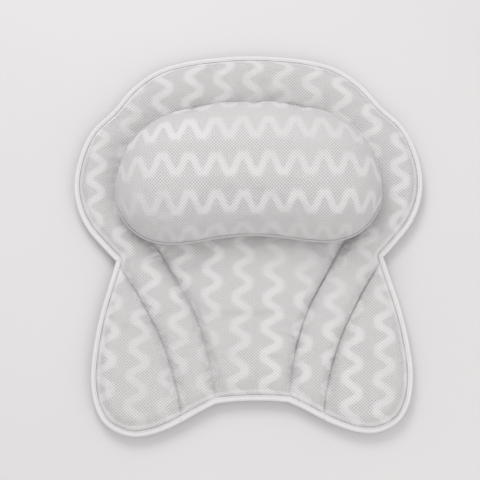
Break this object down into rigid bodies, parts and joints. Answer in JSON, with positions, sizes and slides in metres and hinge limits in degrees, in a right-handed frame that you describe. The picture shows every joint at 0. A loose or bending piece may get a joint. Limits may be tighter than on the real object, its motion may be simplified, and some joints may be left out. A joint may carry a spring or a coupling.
{
  "type": "bath pillow",
  "caption": "Butterfly-shaped mesh bath pillow: quilted back pad with folding wings, a crowned head cushion and suction cups behind.",
  "frame": {"origin": "on the surface that the six suction cups stand on, under the middle of the pad's outline, with the pad lying face up", "axes": "+Z out of the padded face, +Y towards the head end, +X towards the pad's right side seen from the front"},
  "size_m": [0.3992, 0.44, 0.0969],
  "materials": {
    "face_mesh": "matte jacquard spacer mesh, off-white on light grey",
    "rear_mesh": "matte plain warp-knit mesh",
    "spacer_core": "open resilient monofilament spacer",
    "binding_tape": "folded woven polyester tape, soft sheen",
    "sewing_thread": "spun polyester thread",
    "patch_fabric": "coated woven polyester",
    "cup_plastic": "glossy translucent soft moulding"
  },
  "bodies": {
    "back_pad": {"pad_face_mesh": "face_mesh", "pad_spacer_core": "spacer_core", "pad_rear_mesh": "rear_mesh", "head_end_binding": "binding_tape", "foot_end_binding": "binding_tape", "inner_seam_thread": "sewing_thread", "right_seam_thread": "sewing_thread", "left_seam_thread": "sewing_thread", "head_cushion_face_mesh": "face_mesh", "head_cushion_fill": "spacer_core", "head_cushion_back_mesh": "rear_mesh", "head_cushion_welt": "binding_tape", "right_head_cup_patch": "patch_fabric", "left_head_cup_patch": "patch_fabric", "right_lobe_cup_patch": "patch_fabric", "left_lobe_cup_patch": "patch_fabric"},
    "right_wing": {"right_wing_face_mesh": "face_mesh", "right_wing_spacer_core": "spacer_core", "right_wing_rear_mesh": "rear_mesh", "right_wing_binding": "binding_tape", "right_wing_cup_patch": "patch_fabric"},
    "left_wing": {"left_wing_face_mesh": "face_mesh", "left_wing_spacer_core": "spacer_core", "left_wing_rear_mesh": "rear_mesh", "left_wing_binding": "binding_tape", "left_wing_cup_patch": "patch_fabric"},
    "right_head_suction_cup": {"right_head_suction_cup": "cup_plastic"},
    "left_head_suction_cup": {"left_head_suction_cup": "cup_plastic"},
    "right_lobe_suction_cup": {"right_lobe_suction_cup": "cup_plastic"},
    "left_lobe_suction_cup": {"left_lobe_suction_cup": "cup_plastic"},
    "right_wing_suction_cup": {"right_wing_suction_cup": "cup_plastic"},
    "left_wing_suction_cup": {"left_wing_suction_cup": "cup_plastic"}
  },
  "joints": [
    {"name": "right_wing_fold", "type": "hinge", "parent": "back_pad", "child": "right_wing", "pos_m": [0.10765, -0.1122, 0.0156], "axis": [-0.3792, -0.9253, 0], "range_deg": [-20, 45], "stiffness_Nm_per_rad": 0.15},
    {"name": "left_wing_fold", "type": "hinge", "parent": "back_pad", "child": "left_wing", "pos_m": [-0.10765, -0.1122, 0.0156], "axis": [-0.3792, 0.9253, 0], "range_deg": [-20, 45], "stiffness_Nm_per_rad": 0.15},
    {"name": "right_head_cup_spin", "type": "hinge", "parent": "back_pad", "child": "right_head_suction_cup", "pos_m": [0.075, 0.1716, 0], "axis": [0, 0, 1], "continuous": true},
    {"name": "left_head_cup_spin", "type": "hinge", "parent": "back_pad", "child": "left_head_suction_cup", "pos_m": [-0.075, 0.1716, 0], "axis": [0, 0, 1], "continuous": true},
    {"name": "right_lobe_cup_spin", "type": "hinge", "parent": "back_pad", "child": "right_lobe_suction_cup", "pos_m": [0.15, 0.0341, 0], "axis": [0, 0, 1], "continuous": true},
    {"name": "left_lobe_cup_spin", "type": "hinge", "parent": "back_pad", "child": "left_lobe_suction_cup", "pos_m": [-0.15, 0.0341, 0], "axis": [0, 0, 1], "continuous": true},
    {"name": "right_wing_cup_spin", "type": "hinge", "parent": "right_wing", "child": "right_wing_suction_cup", "pos_m": [0.134, -0.1342, 0], "axis": [0, 0, 1], "continuous": true},
    {"name": "left_wing_cup_spin", "type": "hinge", "parent": "left_wing", "child": "left_wing_suction_cup", "pos_m": [-0.134, -0.1342, 0], "axis": [0, 0, 1], "continuous": true}
  ]
}
